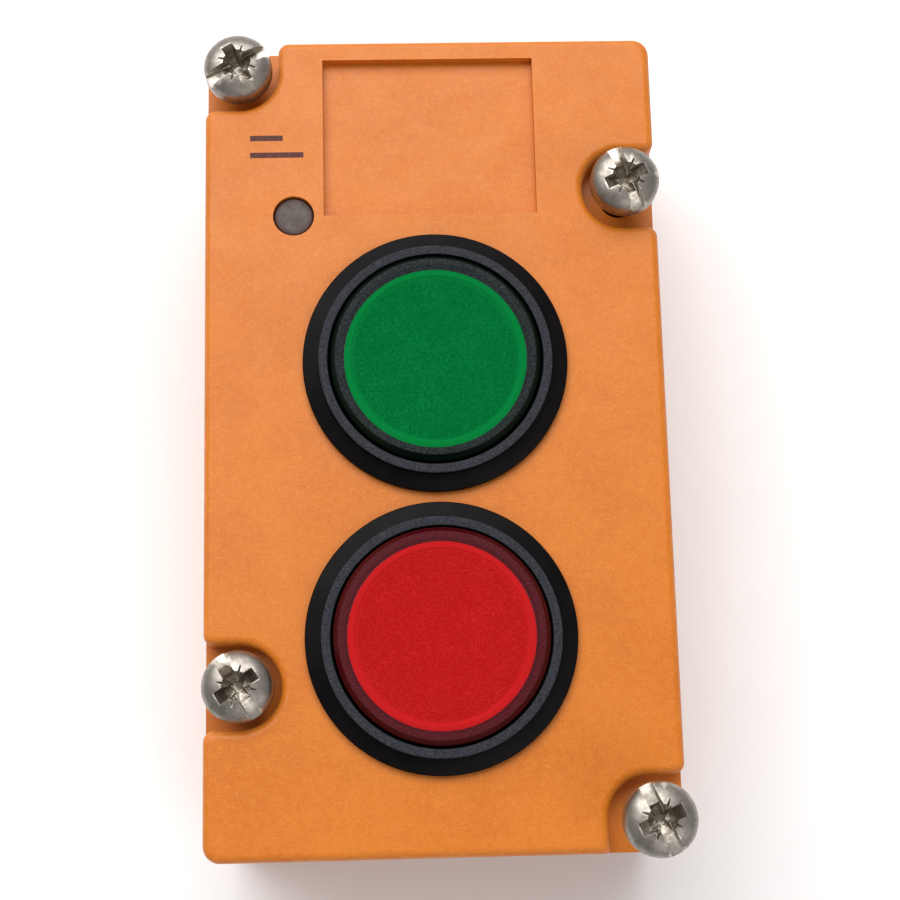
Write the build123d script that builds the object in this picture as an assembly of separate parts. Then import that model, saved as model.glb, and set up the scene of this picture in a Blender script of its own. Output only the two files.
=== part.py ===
from build123d import *
import math
import os

# Two-button control module of a field-bus station: an orange moulded upper housing with a green and
# a red illuminated pushbutton, a status lamp window and four captive screws that hold it on its base.
# The module lies on its back: +Z comes out of the front face, +Y points to the label end, and the
# origin is the centre of the rear rim. All sizes are in millimetres.

# ------------------------------------------------------------------ housing
BASE_W, BASE_L = 45.0, 80.0      # outline of the rear rim
FACE_W, FACE_L = 44.0, 79.0      # outline of the front face, smaller by the mould draft
FACE_Z = 29.0                    # height of the front face above the rear rim
CORNER_R = 2.1                   # upright corners
FACE_EDGE_R = 0.8                # rounding along the edge of the face
FRONT_WALL = 2.5
SIDE_WALL = 2.2
RIM_WALL = 1.6                   # thinner wall around the rear cover
COVER_SEAT_Z = 2.8               # ledge that the rear cover lies on
DRAFT = math.degrees(math.atan((BASE_W - FACE_W) / 2 / FACE_Z))

# ------------------------------------------------------------------ screw notches
SCREW_X = 18.7
SCREW_Y_CORNER = 36.4
SCREW_Y_SIDE = 23.8
NOTCH_R = 3.87
NOTCH_DEPTH = 3.3                # the screw heads seat on the notch floor
NOTCH_LIP_R = 1.0                # rounding where a notch meets the side wall
LOWER_LIP_R = 0.4                # the same at the lower end wall
COLUMN_R = 5.0                   # plastic left standing around each screw
NOTCH_Z = FACE_Z - NOTCH_DEPTH

# ------------------------------------------------------------------ captive screws
THREAD_R = 1.75                  # M3.5
THREAD_L = 7.0
WAIST_R = 1.4
SHANK_L = 28.0                   # from under the head to the tip
TIP_CHAMFER = 0.4
HEAD_R = 3.3
HEAD_H = 2.8
HEAD_RIM_H = 1.3                 # upright rim below the dome
SLOT_W = 1.2
SLOT_DEPTH = 1.4
CROSS_SPAN = 4.3
CROSS_WING_W = 1.2
CROSS_DEPTH = 2.1
CROSS_DRAFT = 9.0
CORE_R, CORE_TIP_R = 1.3, 0.45   # conical middle of the recess
TICK_W = 0.28
TICK_SPAN = 4.7
TICK_DEPTH = 0.6
RING_T = 0.8                     # split retaining ring that sits above the thread
RING_R = 2.25
RING_BORE_R = 1.5
RING_GAP = 0.05
GUIDE_BORE_R = 1.95              # bore that lets the thread through but stops the ring
RING_BORE_CLEAR_R = 2.4          # bore that the ring slides in
RING_STOP_Z = 16.0
POST_BORE_R = 2.8                # counterbore for the threaded posts of the base
POST_BORE_L = 12.5

# name: (side of X, side of Y, distance from the middle in Y, height of the tip, turn of the slot)
SCREWS = {
    "top_left": (-1, 1, SCREW_Y_CORNER, 0.6, 29.0),
    "top_right": (1, 1, SCREW_Y_SIDE, 1.9, 111.0),
    "bottom_left": (-1, -1, SCREW_Y_SIDE, 0.8, 123.0),
    "bottom_right": (1, -1, SCREW_Y_CORNER, 5.1, 114.0),
}

# ------------------------------------------------------------------ front face details
LABEL_W, LABEL_L = 20.75, 16.1
LABEL_X, LABEL_Y = -0.1, 29.45
LABEL_DEPTH = 1.0
LAMP_X, LAMP_Y = -13.4, 21.4     # status lamp window
LAMP_R = 2.0
LAMP_RECESS = 0.3
FIT = 0.05

# ------------------------------------------------------------------ pushbuttons
GREEN_Y = 6.5
RED_Y = -19.65
TRAVEL = 3.0
BEZEL_R = 12.6
BEZEL_EDGE_H = 0.75              # height of the flange at its outer edge
BEZEL_SLOPE_H = 1.15             # height of the flange where it meets the ridge
RIDGE_H = 2.0
RIDGE_R = 11.05
RIDGE_BORE_R = 10.15
RIDGE_CHAMFER = 0.14
BARREL_R = 11.2
BARREL_BOTTOM_Z = 20.5
WEB_Z = 22.0                     # top of the web that guides the plunger
WEB_HOLE_R = 5.5
HOLE_R = 11.35                   # hole in the front wall
GASKET_R, GASKET_BORE_R = 12.25, 11.55
GASKET_H = 0.28
NUT_R = 12.9
NUT_H = 3.0
NUT_NOTCHES = 8
NUT_NOTCH_DEPTH, NUT_NOTCH_W = 0.8, 2.4

CAP_R = 9.9
CAP_TOP_T = 0.9
CAP_SKIRT_L = 5.0
CAP_BORE_R = 8.85
CAP_EDGE_W, CAP_EDGE_H = 0.45, 0.7
DISC_R = 8.65
DISC_T = 0.9
PLATE_R = 8.75
PLATE_T = 1.2
TUBE_R, TUBE_BORE_R = 5.3, 4.0
KEY_R, KEY_W = 6.4, 2.0          # keys that stop the plunger turning
FOOT_R, FOOT_H = 8.6, 1.6        # feet that hook under the web and press the switch
SLOT_CLEAR = 0.2
PLUNGER_BOTTOM_Z = 18.8
SPRING_R, SPRING_WIRE_R = 7.3, 0.3
SPRING_TURNS = 4

# name: (place along Y, height of the lens top above the face)
BUTTONS = {"green": (GREEN_Y, 2.8), "red": (RED_Y, 3.3)}

# ------------------------------------------------------------------ circuit board
BOARD_Z, BOARD_T = 9.0, 1.6
BOARD_TOP_Z = BOARD_Z + BOARD_T
BOARD_EDGE = 0.3
SWITCH_X = 6.9
SWITCH_W, SWITCH_H = 6.8, 5.0
STEM_R, STEM_FIT = 1.5, 0.1
STEM_BOTTOM_Z, STEM_TOP_Z = 14.3, 18.7
LED_R, LED_FLANGE_R, LED_H = 2.5, 2.9, 8.6
LED_FLANGE_T = 1.0
PILLAR_R = 2.3
PILLARS = [(-16.8, -2.0), (16.8, -2.0), (0.0, 32.5)]
BOARD_SCREW_R, BOARD_SCREW_L = 1.0, 8.0
BOARD_HEAD_R, BOARD_HEAD_H = 1.9, 1.3
DRIVE_SPAN, DRIVE_W = 1.2, 0.3   # cross slot of the small screws, in head radii
CHIP_X, CHIP_Y = 7.6, 25.0
CHIP_W, CHIP_L, CHIP_H = 7.4, 10.4, 2.2
CHIP_GAP = 0.2                   # air under the chip's body
LEADS, LEAD_PITCH = 8, 1.27
LEAD_REACH, LEAD_W, LEAD_T = 1.4, 0.42, 0.5
CHOKE_X, CHOKE_Y = -4.6, 24.6
CHOKE_R, CHOKE_WAIST_R, CHOKE_H, CHOKE_CHEEK = 3.4, 2.6, 4.6, 0.9
CAN_X, CAN_Y = 4.0, -33.0
CAN_R, CAN_H, CAN_ROUND = 2.5, 7.0, 0.4
CHIP_LED_W, CHIP_LED_L, CHIP_LED_H = 3.2, 2.8, 1.9
GUIDE_GAP = 0.3                  # air between the status diode and its light guide
GUIDE_ROD_R, GUIDE_COLLAR_R = 1.6, 2.6
GUIDE_COLLAR_T, GUIDE_ROUND = 1.6, 0.25

# ------------------------------------------------------------------ rear cover and contacts
COVER_Z = 0.8
COVER_GAP = 0.15
BOSS_X, BOSS_Y, BOSS_R = 15.6, 12.5, 2.4
COVER_SCREW_R, COVER_SCREW_L = 1.25, 8.0
COVER_HEAD_R, COVER_HEAD_H = 2.3, 1.4
COVER_HEAD_Z = 0.2
COVER_HEAD_CLEAR_R = 2.6
SEAL_INSET, SEAL_W = 0.4, 1.4
SHROUD_W, SHROUD_L, SHROUD_WALL = 26.0, 14.0, 1.3
SHROUD_FLOOR_Z = 7.0
FLANGE_GROW, FLANGE_T = 1.8, 1.2
PIN_R, PIN_PITCH, PIN_COUNT = 0.75, 6.0, 4
PIN_SHOULDER_R, PIN_TAIL_R = 1.0, 0.5
PIN_TIP_Z, PIN_TOP_Z = 1.2, 12.0
PIN_TIP_ROUND = 0.3
CONTACT_SEAL_W = 1.3

OUTSIDE = 20.0                   # how far a notch tool reaches past the outline
JOIN = 0.2                       # how far two fused solids reach into each other


# ------------------------------------------------------------------ shared helpers
def disc(radius, low, high, x=0.0, y=0.0):
    """Upright cylinder between two heights."""
    return Pos(x, y, (low + high) / 2) * Cylinder(radius, high - low)


def ring(radius, bore, low, high, x=0.0, y=0.0):
    """Upright tube between two heights."""
    return disc(radius, low, high, x, y) - disc(bore, low - 1, high + 1, x, y)


def block(width, length, low, high, x=0.0, y=0.0):
    """Upright box between two heights."""
    return Pos(x, y, (low + high) / 2) * Box(width, length, high - low)


def prism(sketch, low, high):
    """Straight prism of a plan sketch between two heights."""
    return extrude(Pos(0, 0, low) * sketch, high - low)


def turned(points):
    """Solid turned about Z from (radius, height) points."""
    outline = [Vector(radius, 0, height) for radius, height in points]
    return revolve(make_face(Polyline(*outline, close=True)), Axis.Z)


def screw_place(name):
    """Axis of a captive screw in plan."""
    side_x, side_y, distance = SCREWS[name][:3]
    return side_x * SCREW_X, side_y * distance


def around_screw(name, radius):
    """Plan of the room around one screw: round on the inside, open to the outside of the housing."""
    side_x, side_y, distance = SCREWS[name][:3]
    x, y = screw_place(name)
    if distance == SCREW_Y_CORNER:
        shift = OUTSIDE / 2 - radius
        return Pos(x + side_x * shift, y + side_y * shift) * RectangleRounded(OUTSIDE, OUTSIDE, radius)
    straight = Pos(x + side_x * OUTSIDE / 2, y) * Rectangle(OUTSIDE, 2 * radius)
    return straight + Pos(x, y) * Circle(radius)


def inside_plan(wall, clearance=0.0):
    """Plan of the room inside the side walls, without the four screw columns."""
    width = BASE_W - 2 * (wall + clearance)
    length = BASE_L - 2 * (wall + clearance)
    plan = RectangleRounded(width, length, CORNER_R)
    for name in SCREWS:
        plan -= around_screw(name, COLUMN_R + clearance)
    return plan


def boss_plan(radius):
    """Plan of the four cover bosses, each joined to its side wall."""
    plan = Sketch()
    for side_x in (-1, 1):
        for side_y in (-1, 1):
            x, y = side_x * BOSS_X, side_y * BOSS_Y
            plan += Pos(x, y) * Circle(radius)
            plan += Pos(x + side_x * OUTSIDE / 2, y) * Rectangle(OUTSIDE, 2 * radius)
    return plan


# ------------------------------------------------------------------ housing
def is_notch_lip(edge):
    """True for the upright edge where a notch wall runs out through a side or end wall."""
    middle = edge @ 0.5
    across, along = abs(middle.X), abs(middle.Y)
    upright = edge.bounding_box().size.Z > NOTCH_DEPTH - FIT
    side_lips = [SCREW_Y_SIDE - NOTCH_R, SCREW_Y_SIDE + NOTCH_R, SCREW_Y_CORNER - NOTCH_R]
    on_side = across > FACE_W / 2 - FIT and any(abs(along - lip) < FIT for lip in side_lips)
    on_end = along > FACE_L / 2 - FIT and abs(across - (SCREW_X - NOTCH_R)) < FIT
    return upright and (on_side or on_end)


def is_lower_end(edge):
    """True for an edge at the lower end wall."""
    return (edge @ 0.5).Y < NOTCH_LIP_R - FACE_L / 2


def outer_block():
    """Drafted block with the four notches, rounded lips and a rounded face edge."""
    body = extrude(RectangleRounded(BASE_W, BASE_L, CORNER_R), FACE_Z, taper=DRAFT)
    for name in SCREWS:
        body -= prism(around_screw(name, NOTCH_R), NOTCH_Z, FACE_Z + 1)
    upper_lips = [edge for edge in body.edges() if is_notch_lip(edge) and not is_lower_end(edge)]
    body = fillet(upper_lips, NOTCH_LIP_R)
    lower_lips = [edge for edge in body.edges() if is_notch_lip(edge) and is_lower_end(edge)]
    body = fillet(lower_lips, LOWER_LIP_R)
    face = body.faces().sort_by(Axis.Z)[-1]
    return fillet(face.outer_wire().edges(), FACE_EDGE_R)


def housing_cavity():
    """Room inside the housing, open at the back."""
    pillars = Sketch()
    for x, y in PILLARS:
        pillars += Pos(x, y) * Circle(PILLAR_R)
    cavity = prism(inside_plan(RIM_WALL), 0, COVER_SEAT_Z)
    main_plan = inside_plan(SIDE_WALL) - boss_plan(BOSS_R)
    cavity += prism(main_plan, COVER_SEAT_Z - JOIN, BOARD_TOP_Z)
    cavity += prism(main_plan - pillars, BOARD_TOP_Z - JOIN, FACE_Z - FRONT_WALL)
    return cavity


def screw_bores():
    """Stepped bore through each screw column."""
    bores = Part()
    for name in SCREWS:
        x, y = screw_place(name)
        bores += disc(GUIDE_BORE_R, 0, FACE_Z, x, y)
        bores += disc(RING_BORE_CLEAR_R, 0, RING_STOP_Z, x, y)
        bores += disc(POST_BORE_R, -1, POST_BORE_L, x, y)
    return bores


def front_housing():
    """Orange moulded shell with the front face."""
    body = outer_block()
    body -= housing_cavity()
    body -= screw_bores()
    body -= block(LABEL_W, LABEL_L, FACE_Z - LABEL_DEPTH, FACE_Z + 1, LABEL_X, LABEL_Y)
    body -= disc(LAMP_R, 0, FACE_Z + 1, LAMP_X, LAMP_Y)
    for y, _ in BUTTONS.values():
        body -= disc(HOLE_R, FACE_Z - 2 * FRONT_WALL, FACE_Z + 1, 0, y)
    for x, y in PILLARS:
        body -= disc(BOARD_SCREW_R + FIT, 0, BOARD_TOP_Z + BOARD_SCREW_L, x, y)
    for side_x in (-1, 1):
        for side_y in (-1, 1):
            x, y = side_x * BOSS_X, side_y * BOSS_Y
            body -= disc(COVER_SCREW_R + FIT, 0, COVER_SEAT_Z + COVER_SCREW_L, x, y)
    return body


# ------------------------------------------------------------------ captive screws
def drive_recess(top):
    """Cross recess with a conical middle, corner ticks and a slot across the whole head."""
    wings = Rectangle(CROSS_SPAN, CROSS_WING_W) + Rectangle(CROSS_WING_W, CROSS_SPAN)
    recess = extrude(Pos(0, 0, top) * wings, -CROSS_DEPTH, taper=CROSS_DRAFT)
    recess += Pos(0, 0, top - CROSS_DEPTH / 2) * Cone(CORE_TIP_R, CORE_R, CROSS_DEPTH)
    recess += block(2 * HEAD_R + 1, SLOT_W, top - SLOT_DEPTH, top + 1)
    for turn in (45, -45):
        recess += Rot(0, 0, turn) * block(TICK_SPAN, TICK_W, top - TICK_DEPTH, top + 1)
    return recess


def captive_screw(name):
    """Slotted and cross-recessed pan-head screw with a waisted shank."""
    tip, turn = SCREWS[name][3:]
    bearing = tip + SHANK_L
    rim = bearing + HEAD_RIM_H
    outline = Polyline(
        (0, tip), (THREAD_R - TIP_CHAMFER, tip), (THREAD_R, tip + TIP_CHAMFER), (THREAD_R, tip + THREAD_L),
        (WAIST_R, tip + THREAD_L), (WAIST_R, bearing), (HEAD_R, bearing), (HEAD_R, rim),
    )
    dome = EllipticalCenterArc((0, rim), HEAD_R, HEAD_H - HEAD_RIM_H, start_angle=0, arc_size=90)
    axis_line = Line((0, bearing + HEAD_H), (0, tip))
    section = Plane.XZ * make_face(Curve() + outline + dome + axis_line)
    body = revolve(section, Axis.Z)
    body -= drive_recess(bearing + HEAD_H)
    return Pos(*screw_place(name)) * Rot(0, 0, turn) * body


def retaining_ring(name):
    """Split plastic ring on the waist of a screw, which keeps the screw in the housing."""
    x, y = screw_place(name)
    low = SCREWS[name][3] + THREAD_L + RING_GAP
    body = ring(RING_R, RING_BORE_R, low, low + RING_T, x, y)
    return body - block(RING_R + 1, RING_T, low - 1, low + RING_T + 1, x + (RING_R + 1) / 2, y)


# ------------------------------------------------------------------ pushbutton pieces
def bezel(y):
    """Black front ring with its ridge, threaded barrel and guide web."""
    ridge_top = FACE_Z + RIDGE_H
    body = turned([
        (WEB_HOLE_R, BARREL_BOTTOM_Z), (BARREL_R, BARREL_BOTTOM_Z), (BARREL_R, FACE_Z), (BEZEL_R, FACE_Z),
        (BEZEL_R, FACE_Z + BEZEL_EDGE_H), (RIDGE_R, FACE_Z + BEZEL_SLOPE_H),
        (RIDGE_R, ridge_top - RIDGE_CHAMFER), (RIDGE_R - RIDGE_CHAMFER, ridge_top),
        (RIDGE_BORE_R + RIDGE_CHAMFER, ridge_top), (RIDGE_BORE_R, ridge_top - RIDGE_CHAMFER),
        (RIDGE_BORE_R, WEB_Z), (WEB_HOLE_R, WEB_Z),
    ])
    slot_r = FOOT_R + SLOT_CLEAR
    body -= block(2 * slot_r, KEY_W + 2 * SLOT_CLEAR, BARREL_BOTTOM_Z - 1, WEB_Z)
    body -= ring(GASKET_R, GASKET_BORE_R, FACE_Z, FACE_Z + GASKET_H)
    return Pos(0, y) * body


def bezel_gasket(y):
    """Rubber ring between the bezel flange and the face."""
    return ring(GASKET_R, GASKET_BORE_R, FACE_Z, FACE_Z + GASKET_H, 0, y)


def lock_nut(y):
    """Ring nut that clamps the bezel from inside the housing."""
    top = FACE_Z - FRONT_WALL
    body = ring(NUT_R, BARREL_R + FIT, top - NUT_H, top)
    for step in range(NUT_NOTCHES):
        notch = block(2 * NUT_NOTCH_DEPTH, NUT_NOTCH_W, top - NUT_H - 1, top - NUT_H / 2, NUT_R)
        body -= Rot(0, 0, step * 360 / NUT_NOTCHES) * notch
    return Pos(0, y) * body


def lens_cap(y, top):
    """Coloured transparent cap that the finger presses."""
    inner_top = top - CAP_TOP_T
    bottom = top - CAP_SKIRT_L
    return Pos(0, y) * turned([
        (0, top), (CAP_R - CAP_EDGE_W, top), (CAP_R, top - CAP_EDGE_H), (CAP_R, bottom),
        (CAP_BORE_R, bottom), (CAP_BORE_R, inner_top), (0, inner_top),
    ])


def diffuser(y, top):
    """Translucent disc that spreads the lamp's light under the cap."""
    return disc(DISC_R, top - CAP_TOP_T - DISC_T, top - CAP_TOP_T, 0, y)


def plunger(y, top):
    """Carrier of the cap and the disc, with a guide tube, two keys and two feet."""
    plate_top = top - CAP_TOP_T - DISC_T
    plate_bottom = plate_top - PLATE_T
    body = disc(PLATE_R, plate_bottom, plate_top)
    body += disc(TUBE_R, PLUNGER_BOTTOM_Z, plate_top)
    body += block(2 * KEY_R, KEY_W, PLUNGER_BOTTOM_Z, plate_bottom)
    body += block(2 * FOOT_R, KEY_W, PLUNGER_BOTTOM_Z, PLUNGER_BOTTOM_Z + FOOT_H)
    body -= disc(TUBE_BORE_R, 0, FACE_Z + FRONT_WALL)
    return Pos(0, y) * body


def return_spring(y, top):
    """Coil spring between the web and the plunger's plate."""
    low = WEB_Z + SPRING_WIRE_R
    height = top - CAP_TOP_T - DISC_T - PLATE_T - SPRING_WIRE_R - low
    path = Pos(0, 0, low) * Helix(height / SPRING_TURNS, height, SPRING_R)
    wire = Plane(path @ 0, z_dir=path % 0) * Circle(SPRING_WIRE_R)
    return Pos(0, y) * sweep(wire, path)


def switch_body(y):
    """Key switch on the board, with a blind guide for its stem."""
    body = block(SWITCH_W, SWITCH_W, BOARD_TOP_Z, BOARD_TOP_Z + SWITCH_H, SWITCH_X, y)
    return body - disc(STEM_R + STEM_FIT, STEM_BOTTOM_Z - TRAVEL - STEM_FIT, FACE_Z, SWITCH_X, y)


def switch_stem(y):
    """Stem that one foot of the plunger pushes down."""
    return disc(STEM_R, STEM_BOTTOM_Z, STEM_TOP_Z, SWITCH_X, y)


def lamp_led(y):
    """Round lamp diode under the middle of the button."""
    body = disc(LED_FLANGE_R, BOARD_TOP_Z, BOARD_TOP_Z + LED_FLANGE_T)
    body += disc(LED_R, BOARD_TOP_Z, BOARD_TOP_Z + LED_H - LED_R)
    body += Pos(0, 0, BOARD_TOP_Z + LED_H - LED_R) * Sphere(LED_R)
    return Pos(0, y) * body


# ------------------------------------------------------------------ electronics
def pin_places():
    """Places of the contact pins along X."""
    first = -PIN_PITCH * (PIN_COUNT - 1) / 2
    return [first + PIN_PITCH * step for step in range(PIN_COUNT)]


def circuit_board():
    """Board shaped around the screw columns and the cover bosses."""
    plan = inside_plan(SIDE_WALL, BOARD_EDGE) - boss_plan(BOSS_R + BOARD_EDGE)
    for x, y in PILLARS:
        plan -= Pos(x, y) * Circle(BOARD_SCREW_R + FIT)
    for x in pin_places():
        plan -= Pos(x, 0) * Circle(PIN_TAIL_R + FIT)
    return prism(plan, BOARD_Z, BOARD_TOP_Z)


def pan_head_screw(x, y, head_low, head_r, head_h, shank_r, shank_l):
    """Small pan-head screw driven upward from the back, with a cross slot."""
    bearing = head_low + head_h
    head = disc(head_r, head_low, bearing, x, y)
    head = chamfer(head.edges().sort_by(Axis.Z)[0], head_h / 3)
    span, width = DRIVE_SPAN * head_r, DRIVE_W * head_r
    for size_x, size_y in ((span, width), (width, span)):
        head -= block(size_x, size_y, head_low - 1, head_low + head_h / 2, x, y)
    return head + disc(shank_r, bearing - JOIN, bearing + shank_l, x, y)


def board_screws():
    """Screws that hold the board on its pillars."""
    head_low = BOARD_Z - BOARD_HEAD_H
    sizes = (BOARD_HEAD_R, BOARD_HEAD_H, BOARD_SCREW_R, BOARD_SCREW_L)
    return [pan_head_screw(x, y, head_low, *sizes) for x, y in PILLARS]


def bus_chip():
    """Flat controller chip with two rows of leads."""
    body = block(CHIP_W, CHIP_L, BOARD_TOP_Z + CHIP_GAP, BOARD_TOP_Z + CHIP_H, CHIP_X, CHIP_Y)
    for step in range(LEADS):
        y = CHIP_Y + (step - (LEADS - 1) / 2) * LEAD_PITCH
        body += block(CHIP_W + 2 * LEAD_REACH, LEAD_W, BOARD_TOP_Z, BOARD_TOP_Z + LEAD_T, CHIP_X, y)
    return body


def supply_choke():
    """Drum-shaped choke in the supply line."""
    top = BOARD_TOP_Z + CHOKE_H
    body = disc(CHOKE_WAIST_R, BOARD_TOP_Z, top, CHOKE_X, CHOKE_Y)
    body += disc(CHOKE_R, BOARD_TOP_Z, BOARD_TOP_Z + CHOKE_CHEEK, CHOKE_X, CHOKE_Y)
    return body + disc(CHOKE_R, top - CHOKE_CHEEK, top, CHOKE_X, CHOKE_Y)


def buffer_capacitors():
    """Two upright electrolytic capacitors at the lower end of the board."""
    cans = []
    for x in (-CAN_X, CAN_X):
        can = disc(CAN_R, BOARD_TOP_Z, BOARD_TOP_Z + CAN_H, x, CAN_Y)
        cans.append(fillet(can.edges().sort_by(Axis.Z)[-1], CAN_ROUND))
    return cans


def status_led():
    """Flat diode below the light guide."""
    return block(CHIP_LED_W, CHIP_LED_L, BOARD_TOP_Z, BOARD_TOP_Z + CHIP_LED_H, LAMP_X, LAMP_Y)


def status_light_guide():
    """Smoky rod whose front end is the round status window."""
    shoulder = FACE_Z - FRONT_WALL
    head = disc(LAMP_R - FIT, shoulder - JOIN, FACE_Z - LAMP_RECESS, LAMP_X, LAMP_Y)
    head = fillet(head.edges().sort_by(Axis.Z)[-1], GUIDE_ROUND)
    collar = disc(GUIDE_COLLAR_R, shoulder - GUIDE_COLLAR_T, shoulder, LAMP_X, LAMP_Y)
    rod_low = BOARD_TOP_Z + CHIP_LED_H + GUIDE_GAP
    return head + collar + disc(GUIDE_ROD_R, rod_low, shoulder - JOIN, LAMP_X, LAMP_Y)


# ------------------------------------------------------------------ rear pieces
def cover_plan():
    """Outline of the rear cover."""
    return inside_plan(RIM_WALL, COVER_GAP)


def rear_cover():
    """Black plate that closes the back of the housing."""
    opening = Rectangle(SHROUD_W + 2 * COVER_GAP, SHROUD_L + 2 * COVER_GAP)
    body = prism(cover_plan() - opening, COVER_Z, COVER_SEAT_Z)
    for side_x in (-1, 1):
        for side_y in (-1, 1):
            x, y = side_x * BOSS_X, side_y * BOSS_Y
            body -= disc(COVER_SCREW_R + 2 * FIT, 0, COVER_SEAT_Z + 1, x, y)
            body -= disc(COVER_HEAD_CLEAR_R, 0, COVER_HEAD_Z + COVER_HEAD_H, x, y)
    return body


def cover_screws():
    """Four screws that hold the rear cover."""
    sizes = (COVER_HEAD_R, COVER_HEAD_H, COVER_SCREW_R, COVER_SCREW_L)
    places = [(side_x * BOSS_X, side_y * BOSS_Y) for side_x in (-1, 1) for side_y in (-1, 1)]
    return [pan_head_screw(x, y, COVER_HEAD_Z, *sizes) for x, y in places]


def rear_seal():
    """Flat rubber frame around the rear cover."""
    outer = offset(cover_plan(), -SEAL_INSET)
    inner = offset(cover_plan(), -SEAL_INSET - SEAL_W)
    return prism(outer - inner, 0, COVER_Z)


def contact_shroud():
    """Black box around the contact pins, open at the back."""
    body = block(SHROUD_W, SHROUD_L, COVER_Z, BOARD_Z)
    grow = 2 * FLANGE_GROW
    body += block(SHROUD_W + grow, SHROUD_L + grow, COVER_SEAT_Z, COVER_SEAT_Z + FLANGE_T)
    body -= block(SHROUD_W - 2 * SHROUD_WALL, SHROUD_L - 2 * SHROUD_WALL, 0, SHROUD_FLOOR_Z)
    for x in pin_places():
        body -= disc(PIN_SHOULDER_R + FIT, 0, BOARD_Z + 1, x)
    return body


def contact_seal():
    """Rubber frame around the mouth of the contact shroud."""
    inner = Rectangle(SHROUD_W, SHROUD_L)
    outer = Rectangle(SHROUD_W + 2 * CONTACT_SEAL_W, SHROUD_L + 2 * CONTACT_SEAL_W)
    return prism(outer - inner, 0, COVER_Z)


def contact_pins():
    """Row of round plug pins, each with a shoulder in the shroud floor and a tail through the board."""
    pins = []
    for x in pin_places():
        pin = disc(PIN_R, PIN_TIP_Z, SHROUD_FLOOR_Z + JOIN, x)
        pin = fillet(pin.edges().sort_by(Axis.Z)[0], PIN_TIP_ROUND)
        pin += disc(PIN_SHOULDER_R, SHROUD_FLOOR_Z, BOARD_Z - FIT, x)
        pins.append(pin + disc(PIN_TAIL_R, BOARD_Z - JOIN, PIN_TOP_Z, x))
    return pins


# ------------------------------------------------------------------ assembly
def all_nodes():
    """Every piece by name; a list is a group of identical fasteners or cans."""
    nodes = {
        "front_housing": front_housing(),
        "rear_cover": rear_cover(),
        "rear_seal": rear_seal(),
        "cover_screws": cover_screws(),
        "contact_shroud": contact_shroud(),
        "contact_seal": contact_seal(),
        "contact_pins": contact_pins(),
        "circuit_board": circuit_board(),
        "board_screws": board_screws(),
        "bus_chip": bus_chip(),
        "supply_choke": supply_choke(),
        "buffer_capacitors": buffer_capacitors(),
        "status_led": status_led(),
        "status_light_guide": status_light_guide(),
    }
    for name in SCREWS:
        nodes[f"captive_screw_{name}"] = captive_screw(name)
        nodes[f"retaining_ring_{name}"] = retaining_ring(name)
    for colour, (y, lens_height) in BUTTONS.items():
        top = FACE_Z + lens_height
        nodes[f"{colour}_bezel"] = bezel(y)
        nodes[f"{colour}_bezel_gasket"] = bezel_gasket(y)
        nodes[f"{colour}_lock_nut"] = lock_nut(y)
        nodes[f"{colour}_lens_cap"] = lens_cap(y, top)
        nodes[f"{colour}_diffuser"] = diffuser(y, top)
        nodes[f"{colour}_plunger"] = plunger(y, top)
        nodes[f"{colour}_return_spring"] = return_spring(y, top)
        nodes[f"{colour}_switch_body"] = switch_body(y)
        nodes[f"{colour}_switch_stem"] = switch_stem(y)
        nodes[f"{colour}_lamp_led"] = lamp_led(y)
    return nodes


os.makedirs("parts", exist_ok=True)
for node, shape in all_nodes().items():
    solids = shape if isinstance(shape, list) else [shape]
    export_step(Compound(children=solids) if len(solids) > 1 else solids[0], f"parts/{node}.step")
    print(node, "volume", round(sum(solid.volume for solid in solids), 2))
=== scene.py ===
import math

import bmesh
import bpy
from mathutils import Matrix, Vector


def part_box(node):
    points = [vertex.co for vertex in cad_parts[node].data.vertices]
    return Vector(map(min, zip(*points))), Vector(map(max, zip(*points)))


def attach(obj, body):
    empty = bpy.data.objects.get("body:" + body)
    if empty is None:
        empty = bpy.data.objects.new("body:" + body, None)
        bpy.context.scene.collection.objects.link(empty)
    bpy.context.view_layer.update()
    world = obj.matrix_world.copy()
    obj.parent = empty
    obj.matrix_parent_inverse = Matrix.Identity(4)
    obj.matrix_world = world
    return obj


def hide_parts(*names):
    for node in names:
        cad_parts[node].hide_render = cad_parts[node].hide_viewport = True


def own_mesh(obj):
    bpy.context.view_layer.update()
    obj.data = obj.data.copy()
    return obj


# Looks of the two-button control module: an orange moulded housing with a green and a red illuminated
# pushbutton, a status window and four captive screws. Lengths are in metres, in the CAD frame: +Z comes
# out of the front face and +Y points to the label end.
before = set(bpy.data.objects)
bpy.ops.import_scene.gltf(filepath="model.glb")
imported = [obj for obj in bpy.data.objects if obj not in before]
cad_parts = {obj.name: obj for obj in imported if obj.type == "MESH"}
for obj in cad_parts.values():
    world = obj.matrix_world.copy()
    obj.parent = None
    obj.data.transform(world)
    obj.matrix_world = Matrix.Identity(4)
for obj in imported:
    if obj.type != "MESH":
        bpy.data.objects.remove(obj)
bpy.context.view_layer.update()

MM = 0.001
COLOURS = ("green", "red")
SCREW_TURNS = {"top_left": 29, "top_right": 111, "bottom_left": 123, "bottom_right": 114}

# ------------------------------------------------------------------ places read from the frame
FACE_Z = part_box("front_housing")[1].z
WINDOW_LOW, WINDOW_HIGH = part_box("status_light_guide")

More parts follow.
